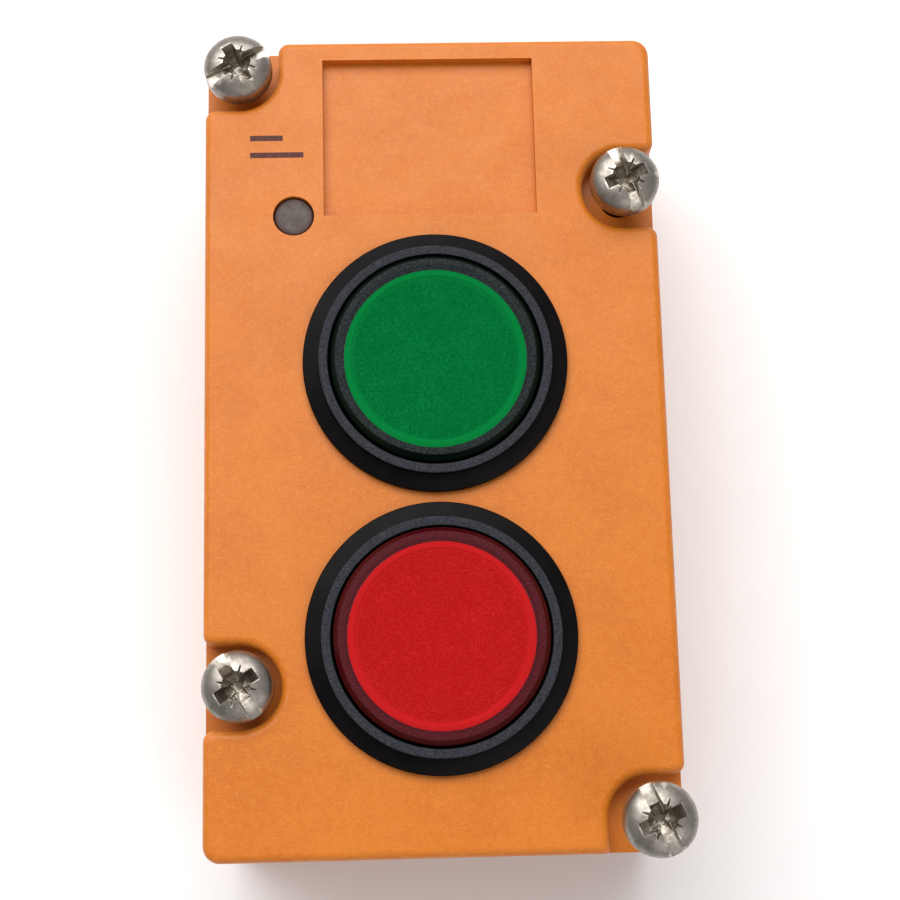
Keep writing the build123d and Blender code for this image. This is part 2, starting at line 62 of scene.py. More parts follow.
# ------------------------------------------------------------------ sizes of the detailed pieces
SHANK_L = 28.0 * MM
THREAD_L = 7.0 * MM
THREAD_R = 1.75 * MM
THREAD_PITCH = 0.6 * MM
THREAD_DEPTH = 0.32 * MM
WAIST_R = 1.4 * MM
HEAD_R = 3.3 * MM
HEAD_H = 2.8 * MM
HEAD_RIM_H = 1.3 * MM
SLOT_W = 1.2 * MM
SLOT_DEPTH = 1.4 * MM
CROSS_HALF_SPAN = 2.15 * MM
CROSS_HALF_W = 0.6 * MM
CROSS_DEPTH = 2.1 * MM
CROSS_FLOOR_SPAN, CROSS_FLOOR_HALF_W = 1.25 * MM, 0.5 * MM
CROSS_POINT_SPAN, CROSS_POINT_HALF_W = 0.45 * MM, 0.2 * MM
CORE_R, CORE_TIP_R = 1.3 * MM, 0.45 * MM
TICK_NEAR, TICK_FAR = 0.6 * MM, 2.3 * MM
TICK_DEPTH = 0.75 * MM
TICK_TURNS = (45, 135, 225, 315)
CUTTER_RISE = 0.3 * MM
SCREW_EDGE_SOFTNESS = 0.07 * MM
BEZEL_BARREL_R = 11.2 * MM
RIDGE_R = 11.05 * MM
RIDGE_BORE_R = 10.15 * MM
RIDGE_H = 2.0 * MM
BEZEL_EDGE_H, BEZEL_SLOPE_H = 0.75 * MM, 1.15 * MM
BEZEL_WEB_T, BEZEL_WEB_HOLE_R = 1.5 * MM, 5.5 * MM
CAP_WALL, CAP_TOP_T = 1.05 * MM, 0.9 * MM
CAP_EDGE_W, CAP_EDGE_H = 0.45 * MM, 0.7 * MM
CAP_RIM_R = 9.45 * MM
CAP_WINDOW_R = 8.87 * MM
CAP_INNER_WINDOW_R = 8.62 * MM
CAP_GROOVE = 0.3 * MM
DISC_BORDER_R = 8.02 * MM
DISC_STEP = 0.12 * MM
DISC_GAP = 0.04 * MM
TURN_STEPS = 192
SCREW_STEPS = 96
DOME_ROWS = 14
ROWS_PER_PITCH = 10
TINY = 1e-6


def srgb(red, green, blue):
    """Linear colour of an sRGB colour given from 0 to 255."""
    def linear(value):
        share = value / 255
        return share / 12.92 if share <= 0.04045 else ((share + 0.055) / 1.055) ** 2.4
    return (linear(red), linear(green), linear(blue), 1.0)


# ------------------------------------------------------------------ material building
class Shader:
    """A node material: a Principled surface with procedural inputs in the piece's own coordinates."""

    def __init__(self, name, **values):
        self.material = bpy.data.materials.new(name)
        self.material.use_nodes = True
        self.nodes = self.material.node_tree.nodes
        self.links = self.material.node_tree.links
        self.surface = self.nodes["Principled BSDF"]
        self.coordinates = self.nodes.new("ShaderNodeTexCoord").outputs["Object"]
        for socket, value in values.items():
            self.surface.inputs[socket.replace("_", " ")].default_value = value

    def put(self, value, socket):
        """Sets a socket to a number or colour, or links it to another node's output."""
        if isinstance(value, bpy.types.NodeSocket):
            self.links.new(value, socket)
        else:
            socket.default_value = value

    def maths(self, operation, first, second=0.0, third=0.0, clamp=False):
        """Sum, product or other operation on up to three numbers or outputs."""
        node = self.nodes.new("ShaderNodeMath")
        node.operation = operation
        node.use_clamp = clamp
        for value, socket in zip((first, second, third), node.inputs):
            self.put(value, socket)
        return node.outputs[0]

    def noise(self, size, detail=2.0, roughness=0.5, offset=(0, 0, 0), stretch=(1, 1, 1)):
        """Noise from 0 to 1 whose spots are about size metres across."""
        place = self.nodes.new("ShaderNodeMapping")
        place.inputs["Location"].default_value = offset
        place.inputs["Scale"].default_value = stretch
        self.links.new(self.coordinates, place.inputs["Vector"])
        node = self.nodes.new("ShaderNodeTexNoise")
        node.inputs["Scale"].default_value = 1 / size
        node.inputs["Detail"].default_value = detail
        node.inputs["Roughness"].default_value = roughness
        self.links.new(place.outputs["Vector"], node.inputs["Vector"])
        return node.outputs["Fac"]

    def spots(self, size, share):
        """Sparse round specks, 1 on a speck and 0 elsewhere."""
        node = self.nodes.new("ShaderNodeTexVoronoi")
        node.inputs["Scale"].default_value = 1 / size
        self.links.new(self.coordinates, node.inputs["Vector"])
        return self.span(node.outputs["Distance"], share, share * 0.6, 0, 1)

    def span(self, value, low, high, to_low, to_high):
        """Maps value from low..high to to_low..to_high, clamped and eased."""
        node = self.nodes.new("ShaderNodeMapRange")
        node.interpolation_type = "SMOOTHSTEP"
        limits = {"From Min": low, "From Max": high, "To Min": to_low, "To Max": to_high}
        for name, number in limits.items():
            self.put(number, node.inputs[name])
        self.put(value, node.inputs["Value"])
        return node.outputs["Result"]

    def blend(self, share, first, second):
        """Colour between first and second."""
        node = self.nodes.new("ShaderNodeMix")
        node.data_type = "RGBA"
        self.put(share, node.inputs["Factor"])
        self.put(first, node.inputs[6])
        self.put(second, node.inputs[7])
        return node.outputs[2]

    def axis(self, index):
        """One of the piece's own coordinates."""
        node = self.nodes.new("ShaderNodeSeparateXYZ")
        self.links.new(self.coordinates, node.inputs["Vector"])
        return node.outputs[index]

    def radius(self):
        """Distance from the piece's own upright axis."""
        squares = [self.maths("MULTIPLY", self.axis(i), self.axis(i)) for i in (0, 1)]
        return self.maths("SQRT", self.maths("ADD", *squares))

    def facing_up(self):
        """Upward part of the surface normal, 1 on level faces and 0 on upright ones."""
        geometry = self.nodes.new("ShaderNodeNewGeometry")
        split = self.nodes.new("ShaderNodeSeparateXYZ")
        self.links.new(geometry.outputs["Normal"], split.inputs["Vector"])
        return split.outputs["Z"]

    def rounded_edge(self):
        """1 on edges rounded between a level and an upright face, 0 elsewhere."""
        up = self.facing_up()
        return self.maths("MULTIPLY", self.span(up, 0.15, 0.45, 0, 1), self.span(up, 0.75, 0.97, 1, 0))

    def convex_edge(self):
        """1 on convex edges, from how sharply the surface bends there."""
        geometry = self.nodes.new("ShaderNodeNewGeometry")
        return self.span(geometry.outputs["Pointiness"], 0.53, 0.6, 0, 1)

    def bump(self, height, depth):
        """Adds relief: height from 0 to 1 stands for depth metres."""
        node = self.nodes.new("ShaderNodeBump")
        node.inputs["Distance"].default_value = depth
        self.put(height, node.inputs["Height"])
        previous = self.surface.inputs["Normal"]
        if previous.is_linked:
            self.links.new(previous.links[0].from_socket, node.inputs["Normal"])
        self.links.new(node.outputs["Normal"], previous)

    def set(self, name, value):
        """Sets or links an input of the surface."""
        self.put(value, self.surface.inputs[name])


def moulded(name, colour, shade, rough=0.5, grain=0.3 * MM, mottle=9 * MM):
    """Moulded plastic or rubber: soft mottling, fine grain and uneven gloss."""
    s = Shader(name)
    cloud = s.span(s.noise(mottle, 3.0, 0.6), 0.35, 0.65, 0, 1)
    fine = s.noise(grain, 2.0, 0.6)
    s.set("Base Color", s.blend(cloud, colour, shade))
    s.set("Roughness", s.span(s.noise(mottle / 4, 3.0, 0.6), 0.3, 0.7, rough - 0.06, rough + 0.06))
    s.bump(fine, 0.012 * MM)
    return s


def orange_plastic():
    """Housing: fine spark-eroded texture, faint mottling, specks of dust and paler worn edges."""
    s = Shader("orange_moulded", Specular_IOR_Level=0.4)
    cloud = s.span(s.noise(7 * MM, 4.0, 0.62), 0.36, 0.64, 0, 1)
    grain = s.noise(0.24 * MM, 3.0, 0.7)
    flecks = s.span(s.noise(0.7 * MM, 4.0, 0.75, offset=(0.013, 0.007, 0.002)), 0.36, 0.66, 0, 1)
    base = s.blend(cloud, srgb(206, 114, 24), srgb(199, 107, 19))
    base = s.blend(s.maths("MULTIPLY", flecks, 0.4), base, srgb(216, 126, 33))
    base = s.blend(s.span(grain, 0.34, 0.5, 0.25, 0), base, srgb(196, 92, 24))
    base = s.blend(s.span(grain, 0.53, 0.68, 0, 0.25), base, srgb(236, 148, 66))
    rubbed = s.rounded_edge()
    wear = s.maths("MULTIPLY", rubbed, s.span(s.noise(1.7 * MM, 4.0, 0.7), 0.42, 0.72, 0, 0.15))
    base = s.blend(wear, base, srgb(243, 168, 108))
    dust = s.maths("MULTIPLY", s.spots(3.4 * MM, 0.035), 0.2)
    base = s.blend(dust, base, srgb(150, 70, 28))
    s.set("Base Color", base)
    s.set("Roughness", s.span(s.noise(3.1 * MM, 4.0, 0.6), 0.3, 0.7, 0.38, 0.48))
    s.bump(s.noise(5 * MM, 1.0, 0.4), 0.02 * MM)
    s.bump(grain, 0.024 * MM)
    return s


def bezel_plastic():
    """Bezel: smooth black flange, finely grained grey-black ridge top and a glossy inner wall."""
    s = Shader("bezel_black", Specular_IOR_Level=0.06)
    radius = s.radius()
    height = s.axis(2)
    level = s.span(height, RIDGE_H - 0.16 * MM, RIDGE_H - 0.03 * MM, 0, 1)
    outside_bore = s.span(radius, RIDGE_BORE_R + 0.02 * MM, RIDGE_BORE_R + 0.1 * MM, 0, 1)
    ridge = s.maths("MULTIPLY", level, outside_bore)
    grain = s.noise(0.13 * MM, 3.0, 0.8)
    top = s.blend(s.span(grain, 0.4, 0.62, 0, 1), srgb(36, 38, 42), srgb(64, 66, 72))
    flange = s.blend(s.span(s.noise(4 * MM, 3.0), 0.35, 0.65, 0, 1), srgb(11, 9, 10), srgb(17, 14, 15))
    s.set("Base Color", s.blend(ridge, flange, top))
    inside = s.span(radius, RIDGE_BORE_R - 0.05 * MM, RIDGE_BORE_R + 0.06 * MM, 1, 0)
    smooth = s.span(s.noise(2.2 * MM, 4.0, 0.65), 0.3, 0.7, 0.34, 0.44)
    rough = s.maths("MULTIPLY_ADD", ridge, 0.18, smooth)
    s.set("Roughness", s.maths("MULTIPLY_ADD", inside, -0.2, rough, clamp=True))
    s.bump(s.maths("MULTIPLY", grain, ridge), 0.03 * MM)
    s.bump(s.noise(0.5 * MM, 3.0, 0.6), 0.003 * MM)
    return s


def cap_plastic(name, top, rim, rim_fleck, side):
    """Coloured cap: see-through over the disc, matt and opaque on its rim, with a darker painted shade on
    its side.
    """
    s = Shader(name, Specular_IOR_Level=0.07, IOR=1.49)
    radius = s.radius()
    grain = s.noise(0.15 * MM, 3.0, 0.8)
    inside = s.span(s.axis(2), top - 0.6 * MM, top - 0.4 * MM, 1, 0)
    window_r = s.maths("MULTIPLY_ADD", inside, CAP_INNER_WINDOW_R - CAP_WINDOW_R, CAP_WINDOW_R)
    beyond = s.maths("SUBTRACT", radius, window_r)
    clear = s.span(inside, 0, 1, 0.02, 0)
    s.set("Alpha", s.span(beyond, -0.02 * MM, 0.04 * MM, clear, 1))
    on_slope = s.span(radius, CAP_RIM_R - 0.01 * MM, CAP_RIM_R + 0.06 * MM, 0, 1)
    rim_colour = s.blend(s.span(grain, 0.42, 0.64, 0, 1), rim, rim_fleck)
    # Beyond the rim the cap takes its darker side colour: painted shade of the side down in the gap.
    s.set("Base Color", s.blend(on_slope, rim_colour, side))
    matt = s.span(s.noise(1.3 * MM, 4.0, 0.6), 0.3, 0.7, 0.42, 0.54)
    s.set("Roughness", s.maths("MULTIPLY_ADD", on_slope, -0.2, matt))
    s.bump(grain, 0.012 * MM)
    return s


def disc_plastic(name, middle, middle_fleck, border):
    """Bright disc under the cap, with a paler border and a fine sparkle."""
    s = Shader(name, Roughness=0.6, Specular_IOR_Level=0.0)
    radius = s.radius()
    speckle = s.span(s.noise(0.2 * MM, 3.0, 0.8), 0.4, 0.66, 0, 1)
    cloud = s.span(s.noise(2.4 * MM, 3.0, 0.65), 0.35, 0.65, 0, 0.4)
    colour = s.blend(s.maths("MULTIPLY", speckle, 0.8), middle, middle_fleck)
    colour = s.blend(cloud, colour, middle)
    edge = s.span(radius, DISC_BORDER_R - 0.5 * MM, DISC_BORDER_R + 0.2 * MM, 0, 1)
    s.set("Base Color", s.blend(s.maths("MULTIPLY", edge, 0.85), colour, border))
    s.bump(speckle, 0.01 * MM)
    return s


def screw_steel():
    """Turned stainless steel: fine rings on the dome, smears, paler edges that are partly worn burrs and
    partly painted highlight, and painted brown shade down in the recess.
    """
    s = Shader("screw_steel", Metallic=1.0)
    radius = s.radius()
    height = s.axis(2)
    smear = s.noise(1.1 * MM, 4.0, 0.7)
    base = s.blend(s.span(smear, 0.36, 0.64, 0, 1), srgb(166, 159, 151), srgb(142, 135, 126))
    spots = s.span(s.noise(0.35 * MM, 4.0, 0.75), 0.5, 0.66, 0, 0.45)
    base = s.blend(spots, base, srgb(112, 104, 92))
    # Darker, browner, rougher and less metallic deep in the recess: painted shade.
    inside = s.span(radius, 2.1 * MM, 2.4 * MM, 1, 0)
    below = s.maths("SUBTRACT", HEAD_H - 0.35 * MM, height)
    deep = s.maths("MULTIPLY", inside, s.span(below, 0.05 * MM, 0.8 * MM, 0, 1))
    recess_shade = s.maths("MULTIPLY", deep, s.span(s.noise(0.5 * MM, 3.0, 0.6), 0.3, 0.7, 0.65, 1.0))
    base = s.blend(recess_shade, base, srgb(84, 70, 50))
    # Paler convex edges: partly worn burrs, partly a painted highlight where the edges catch the light.
    burr_and_highlight = s.maths("MULTIPLY", s.span(s.noise(0.6 * MM, 3.0, 0.7), 0.35, 0.65, 0.3, 0.9), s.convex_edge())
    s.set("Base Color", s.blend(burr_and_highlight, base, srgb(226, 218, 204)))
    s.set("Metallic", s.maths("MULTIPLY_ADD", recess_shade, -0.45, 1.0))
    s.set("Roughness", s.maths("MULTIPLY_ADD", recess_shade, 0.12, s.span(smear, 0.3, 0.7, 0.36, 0.48)))
    rings = s.maths("SINE", s.maths("MULTIPLY", radius, 2 * math.pi / (0.11 * MM)))
    s.bump(s.span(rings, -1, 1, 0, 1), 0.0012 * MM)
    s.bump(s.noise(0.25 * MM, 4.0, 0.7), 0.005 * MM)
    return s


def small_metal(name, bright, dull, rough):
    """Drawn, stamped or plated small metal parts."""
    s = Shader(name, Metallic=1.0)
    smear = s.noise(0.8 * MM, 4.0, 0.65)
    s.set("Base Color", s.blend(s.span(smear, 0.35, 0.65, 0, 1), bright, dull))
    s.set("Roughness", s.span(smear, 0.3, 0.7, rough - 0.06, rough + 0.08))
    s.bump(s.noise(0.12 * MM, 2.0), 0.003 * MM)
    return s


def smoky_window():
    """Status window: grey-brown, cloudy, with a painted dark maroon shade towards its edge down in its
    hole.
    """
    s = Shader("smoky_window", Specular_IOR_Level=0.2)
    place = s.nodes.new("ShaderNodeVectorMath")
    place.operation = "SUBTRACT"
    middle = (WINDOW_LOW + WINDOW_HIGH) / 2
    place.inputs[1].default_value = (middle.x, middle.y, 0)
    s.links.new(s.coordinates, place.inputs[0])
    s.coordinates = place.outputs[0]
    radius = s.radius()
    cloud = s.span(s.noise(0.9 * MM, 3.0, 0.6), 0.35, 0.65, 0, 1)
    colour = s.blend(cloud, srgb(94, 82, 76), srgb(76, 66, 61))
    # Dark maroon towards the edge: painted shade where the window sits down in its hole.
    edge = s.span(radius, 1.2 * MM, 1.9 * MM, 0, 0.85)
    s.set("Base Color", s.blend(edge, colour, srgb(60, 26, 22)))
    s.set("Roughness", s.span(s.noise(0.6 * MM, 3.0), 0.3, 0.7, 0.3, 0.42))
    s.bump(s.noise(0.4 * MM, 2.0), 0.008 * MM)
    return s


def board_laminate():
    """Circuit board: green resist over a faint weave and darker copper areas."""
    s = Shader("board_green", Specular_IOR_Level=0.5)
    warp = s.noise(0.5 * MM, 1.0, stretch=(8, 1, 1))
    weft = s.noise(0.5 * MM, 1.0, stretch=(1, 8, 1))
    weave = s.maths("MULTIPLY", warp, weft)
    copper = s.span(s.noise(3.5 * MM, 1.0, 0.4), 0.49, 0.51, 0, 1)
    resist = s.blend(copper, srgb(16, 92, 48), srgb(30, 118, 62))
    s.set("Base Color", s.blend(s.span(weave, 0.2, 0.35, 0, 0.4), resist, srgb(44, 120, 74)))
    s.set("Roughness", s.span(s.noise(2 * MM, 3.0), 0.3, 0.7, 0.28, 0.4))
    s.bump(copper, 0.03 * MM)
    return s


def clear_diode():
    """Water-clear diode body with a slight haze."""
    s = Shader("diode_clear", Specular_IOR_Level=0.5)
    haze = s.noise(0.7 * MM, 3.0)
    s.set("Base Color", s.blend(s.span(haze, 0.3, 0.7, 0, 1), srgb(226, 230, 228), srgb(206, 210, 206)))
    s.set("Roughness", s.span(haze, 0.3, 0.7, 0.12, 0.24))
    return s


def printing_ink():
    """Thin dark printing ink, a little worn."""
    s = Shader("printing_ink", Specular_IOR_Level=0.3)
    worn = s.span(s.noise(0.22 * MM, 3.0, 0.7), 0.45, 0.75, 0, 0.5)
    s.set("Base Color", s.blend(worn, srgb(72, 32, 26), srgb(150, 84, 50)))
    s.set("Roughness", s.span(s.noise(0.5 * MM, 2.0), 0.3, 0.7, 0.5, 0.65))
    return s


# ------------------------------------------------------------------ mesh building
def new_piece(name, mesh, place):
    """Links a mesh as an object at a place in the row frame."""
    piece = bpy.data.objects.new(name, mesh)
    piece.location = place
    bpy.context.scene.collection.objects.link(piece)
    return piece


def turned_by(mesh, degrees):
    """Turns a mesh about its own Z axis."""
    mesh.transform(Matrix.Rotation(math.radians(degrees), 4, "Z"))
    return mesh


def finish_mesh(mesh, angle=30):
    """Smooth shading that keeps edges above the angle sharp."""
    mesh.shade_smooth()
    mesh.set_sharp_from_angle(angle=math.radians(angle))
    return mesh


def rounded_outline(corners, steps=5):
    """Profile with its corners rounded; a corner is (radius, height, rounding)."""
    points = []
    count = len(corners)
    for index, (x, z, rounding) in enumerate(corners):
        here = Vector((x, z))
        if rounding <= 0:
            points.append(here)
            continue
        before = (Vector(corners[index - 1][:2]) - here).normalized()
        after = (Vector(corners[(index + 1) % count][:2]) - here).normalized()
        half_angle = before.angle(after) / 2
        reach = rounding / math.tan(half_angle)
        centre = here + (before + after).normalized() * (rounding / math.sin(half_angle))
        start, end = here + before * reach - centre, here + after * reach - centre
        sweep = start.angle_signed(end)
        for step in range(steps + 1):
            turn = Matrix.Rotation(-sweep * step / steps, 2)
            points.append(centre + turn @ start)
    return points


def turned_mesh(name, points, closed=True, steps=TURN_STEPS):
    """Mesh turned about Z from profile points; points on the axis become single vertices."""
    work = bmesh.new()
    rows = []
    for radius, height in points:
        if radius < TINY:
            rows.append([work.verts.new((0, 0, height))] * steps)
            continue
        rows.append([work.verts.new((x, y, height)) for x, y in circle_outline(radius, steps)])
    pairs = list(zip(rows, rows[1:] + rows[:1])) if closed else list(zip(rows, rows[1:]))
    for lower, upper in pairs:
        for step in range(steps):
            ahead = (step + 1) % steps
            corners = [lower[step], lower[ahead], upper[ahead], upper[step]]
            unique = list(dict.fromkeys(corners))
            if len(unique) > 2:
                work.faces.new(unique)
    bmesh.ops.recalc_face_normals(work, faces=work.faces)
    mesh = bpy.data.meshes.new(name)
    work.to_mesh(mesh)
    work.free()
    return mesh


# ------------------------------------------------------------------ captive screws
def thread_radius(depth_below_top, angle):
    """Radius of the helical thread at a distance below the thread's upper end."""
    phase = (depth_below_top / THREAD_PITCH + angle / (2 * math.pi)) % 1
    crest = 1 - abs(2 * phase - 1)
    profile = min(max((crest - 0.12) / 0.76, 0), 1)
    run_in = min(1, depth_below_top / THREAD_PITCH)
    run_out = min(1, (THREAD_L - depth_below_top) / THREAD_PITCH)
    root = THREAD_R - THREAD_DEPTH
    return root + THREAD_DEPTH * profile * max(0.15, min(run_in, run_out))


def screw_blank():
    """Screw before its recess is cut: dome, rim, waist and helical thread. Its bearing face is at 0."""
    rings = []
    for row in range(1, DOME_ROWS + 1):
        angle = math.pi / 2 * (1 - row / DOME_ROWS)
        rings.append((HEAD_R * math.cos(angle), HEAD_RIM_H + (HEAD_H - HEAD_RIM_H) * math.sin(angle)))
    rings += [(HEAD_R, HEAD_RIM_H / 2), (HEAD_R, 0.1 * MM), (HEAD_R - 0.1 * MM, 0)]
    rings += [(WAIST_R + 0.15 * MM, 0), (WAIST_R, -0.15 * MM), (WAIST_R, THREAD_L - SHANK_L)]
    work = bmesh.new()
    angles = [2 * math.pi * step / SCREW_STEPS for step in range(SCREW_STEPS)]

    def ring_of(radii, height):
        places = [(r * math.cos(a), r * math.sin(a), height) for r, a in zip(radii, angles)]
        return [work.verts.new(place) for place in places]

    rows = [ring_of([radius] * SCREW_STEPS, height) for radius, height in rings]
    thread_rows = int(THREAD_L / THREAD_PITCH * ROWS_PER_PITCH)
    for row in range(thread_rows + 1):
        below = THREAD_L * row / thread_rows
        rows.append(ring_of([thread_radius(below, a) for a in angles], THREAD_L - SHANK_L - below))
    for upper, lower in zip(rows, rows[1:]):
        for step in range(SCREW_STEPS):
            ahead = (step + 1) % SCREW_STEPS
            work.faces.new((upper[step], lower[step], lower[ahead], upper[ahead]))
    for rim, height in ((rows[0], HEAD_H), (rows[-1], -SHANK_L)):
        middle = work.verts.new((0, 0, height))
        for step in range(SCREW_STEPS):
            work.faces.new((rim[step], rim[(step + 1) % SCREW_STEPS], middle))
    bmesh.ops.recalc_face_normals(work, faces=work.faces)
    mesh = bpy.data.meshes.new("screw_blank")
    work.to_mesh(mesh)
    work.free()
    return mesh


def lofted_cutter(name, outlines):
    """Closed cutter through a list of (height, outline points) from the top down."""
    work = bmesh.new()
    rows = [[work.verts.new((x, y, height)) for x, y in outline] for height, outline in outlines]
    for upper, lower in zip(rows, rows[1:]):
        count = len(upper)
        for step in range(count):
            ahead = (step + 1) % count
            work.faces.new((upper[step], lower[step], lower[ahead], upper[ahead]))
    work.faces.new(rows[0])
    work.faces.new(rows[-1])
    bmesh.ops.recalc_face_normals(work, faces=work.faces)
    mesh = bpy.data.meshes.new(name)
    work.to_mesh(mesh)
    work.free()
    return mesh


def cross_outline(span, width):
    """Twelve corners of a cross."""
    quarter = [(span, -width), (span, width), (width, width)]
    return [
        (x * math.cos(a) - y * math.sin(a), x * math.sin(a) + y * math.cos(a))
        for a in (0, math.pi / 2, math.pi, 3 * math.pi / 2)
        for x, y in quarter
    ]


def box_outline(half_x, half_y):
    """Four corners of a rectangle."""
    return [(-half_x, -half_y), (half_x, -half_y), (half_x, half_y), (-half_x, half_y)]


def circle_outline(radius, count=32):
    """Points round a circle."""
    angles = [2 * math.pi * step / count for step in range(count)]
    return [(radius * math.cos(a), radius * math.sin(a)) for a in angles]


def tick_outline(far, half_w):
    """Narrow outline of a corner tick, from near the middle of the recess outwards."""
    return [(TICK_NEAR, -half_w), (far, -half_w * 0.8), (far, half_w * 0.8), (TICK_NEAR, half_w)]


def recess_cutters():
    """Cross recess with a pointed floor, slot across the head, and four small corner ticks."""
    top = HEAD_H + CUTTER_RISE
    floor = HEAD_H - CROSS_DEPTH
    cross = lofted_cutter("cross_cutter", [
        (top, cross_outline(CROSS_HALF_SPAN + 0.05 * MM, CROSS_HALF_W + 0.02 * MM)),
        (HEAD_H - 0.5 * MM, cross_outline(CROSS_HALF_SPAN - 0.1 * MM, CROSS_HALF_W - 0.02 * MM)),
        (floor + 0.35 * MM, cross_outline(CROSS_FLOOR_SPAN, CROSS_FLOOR_HALF_W)),
        (floor, cross_outline(CROSS_POINT_SPAN, CROSS_POINT_HALF_W)),
    ])
    core = lofted_cutter("core_cutter", [
        (top, circle_outline(CORE_R + 0.1 * MM)),
        (HEAD_H - 0.3 * MM, circle_outline(CORE_R)),
        (floor - 0.05 * MM, circle_outline(CORE_TIP_R)),
    ])
    slot = lofted_cutter("slot_cutter", [
        (top, box_outline(HEAD_R + 1 * MM, SLOT_W / 2 + 0.02 * MM)),
        (HEAD_H - SLOT_DEPTH, box_outline(HEAD_R + 1 * MM, SLOT_W / 2)),
    ])
    cutters = [(cross, 0), (core, 0), (slot, 0)]
    for turn in TICK_TURNS:
        wedge = [
            (top, tick_outline(TICK_FAR + 0.2 * MM, 0.17 * MM)),
            (HEAD_H - TICK_DEPTH, tick_outline(1.5 * MM, 0.03 * MM)),
        ]
        cutters.append((lofted_cutter("tick_cutter", wedge), turn))
    return cutters


def applied(piece):
    """Mesh of a piece with its modifiers applied; the piece itself is removed."""
    graph = bpy.context.evaluated_depsgraph_get()
    mesh = bpy.data.meshes.new_from_object(piece.evaluated_get(graph))
    bpy.data.objects.remove(piece)
    return mesh


def screw_mesh():
    """Finished screw mesh, shared by the four screws."""
    blank = new_piece("screw_work", screw_blank(), (0, 0, 0))
    tools = []
    for index, (mesh, turn) in enumerate(recess_cutters()):
        tool = new_piece(f"screw_tool_{index}", turned_by(mesh, turn), (0, 0, 0))
        cut = blank.modifiers.new("cut", "BOOLEAN")
        cut.operation = "DIFFERENCE"
        cut.solver = "EXACT"
        cut.object = tool
        tools.append(tool)
    soften = blank.modifiers.new("soften", "BEVEL")
    soften.width = SCREW_EDGE_SOFTNESS
    soften.segments = 2
    soften.limit_method = "ANGLE"
    soften.angle_limit = math.radians(32)
    soften.use_clamp_overlap = True
    bpy.context.view_layer.update()
    mesh = applied(blank)
    for tool in tools:
        bpy.data.objects.remove(tool)
    mesh.name = "captive_screw"
    return finish_mesh(mesh, 28)


def make_screws():
    """Four detailed screws in place of the CAD ones."""
    mesh = screw_mesh()
    mesh.materials.append(screw_steel().material)
    for name, turn in SCREW_TURNS.items():
        node = f"captive_screw_{name}"
        low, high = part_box(node)
        place = ((low.x + high.x) / 2, (low.y + high.y) / 2, low.z + SHANK_L)
        piece = new_piece(f"screw_{name}", turned_by(mesh.copy(), turn), place)
        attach(piece, f"{name}_screw")
        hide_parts(node)


# ------------------------------------------------------------------ pushbuttons
def button_place(colour):
    """Middle of a button on the front face."""
    low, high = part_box(f"{colour}_bezel")
    return Vector(((low.x + high.x) / 2, (low.y + high.y) / 2, FACE_Z))


def bezel_mesh():
    """Bezel turned with rounded edges; heights are above the front face."""
    low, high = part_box("green_bezel")
    outer = (high.x - low.x) / 2
    bottom = low.z - FACE_Z
    web_top = bottom + BEZEL_WEB_T
    corners = [
        (BEZEL_WEB_HOLE_R, bottom, 0.1 * MM), (BEZEL_BARREL_R, bottom, 0.25 * MM), (BEZEL_BARREL_R, 0, 0),
        (outer - 0.02 * MM, 0, 0), (outer, BEZEL_EDGE_H, 0.16 * MM),
        (RIDGE_R + 0.02 * MM, BEZEL_SLOPE_H, 0.12 * MM),
        (RIDGE_R, RIDGE_H, 0.13 * MM), (RIDGE_BORE_R, RIDGE_H, 0.13 * MM),
        (RIDGE_BORE_R, web_top, 0.2 * MM), (BEZEL_WEB_HOLE_R, web_top, 0.1 * MM),
    ]
    return finish_mesh(turned_mesh("bezel", rounded_outline(corners)), 50)


def cap_mesh(colour):
    """Lens cap turned with a soft top edge; heights are above the front face."""
    low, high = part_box(f"{colour}_lens_cap")
    outer = (high.x - low.x) / 2
    top, bottom = high.z - FACE_Z, low.z - FACE_Z
    bore = outer - CAP_WALL
    inner_top = top - CAP_TOP_T
    corners = [
        (0, top, 0), (CAP_WINDOW_R, top, 0), (outer - CAP_EDGE_W, top, 0.07 * MM),
        (outer, top - CAP_EDGE_H, 0.1 * MM), (outer, bottom, 0.1 * MM), (bore, bottom, 0.1 * MM),
        (bore, inner_top - CAP_GROOVE, 0), (bore + CAP_GROOVE, inner_top, 0), (0, inner_top, 0),
    ]
    return finish_mesh(turned_mesh(f"{colour}_cap", rounded_outline(corners), closed=False), 50)


def disc_mesh(colour):
    """Diffuser disc with a slightly raised border, a hair below the cap's inner face."""
    low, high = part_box(f"{colour}_diffuser")
    outer = (high.x - low.x) / 2
    top, bottom = high.z - FACE_Z, low.z - FACE_Z
    top -= DISC_GAP
    corners = [
        (0, top - DISC_STEP, 0), (DISC_BORDER_R - 0.1 * MM, top - DISC_STEP, 0.08 * MM),
        (DISC_BORDER_R + 0.1 * MM, top, 0.08 * MM),
        (outer, top, 0.05 * MM), (outer, bottom, 0.05 * MM), (0, bottom, 0),
    ]
    return finish_mesh(turned_mesh(f"{colour}_disc", rounded_outline(corners), closed=False), 50)


# Cap colours: rim, rim fleck, and a darker side colour that is painted shade.
CAP_LOOKS = {
    "green": (srgb(20, 25, 26), srgb(50, 56, 58), srgb(6, 20, 13)),
    "red": (srgb(64, 15, 21), srgb(96, 34, 41), srgb(60, 3, 10)),
}
DISC_LOOKS = {
    "green": (srgb(1, 94, 42), srgb(13, 122, 62), srgb(8, 124, 57)),
    "red": (srgb(168, 20, 22), srgb(194, 40, 37), srgb(196, 32, 34)),
}


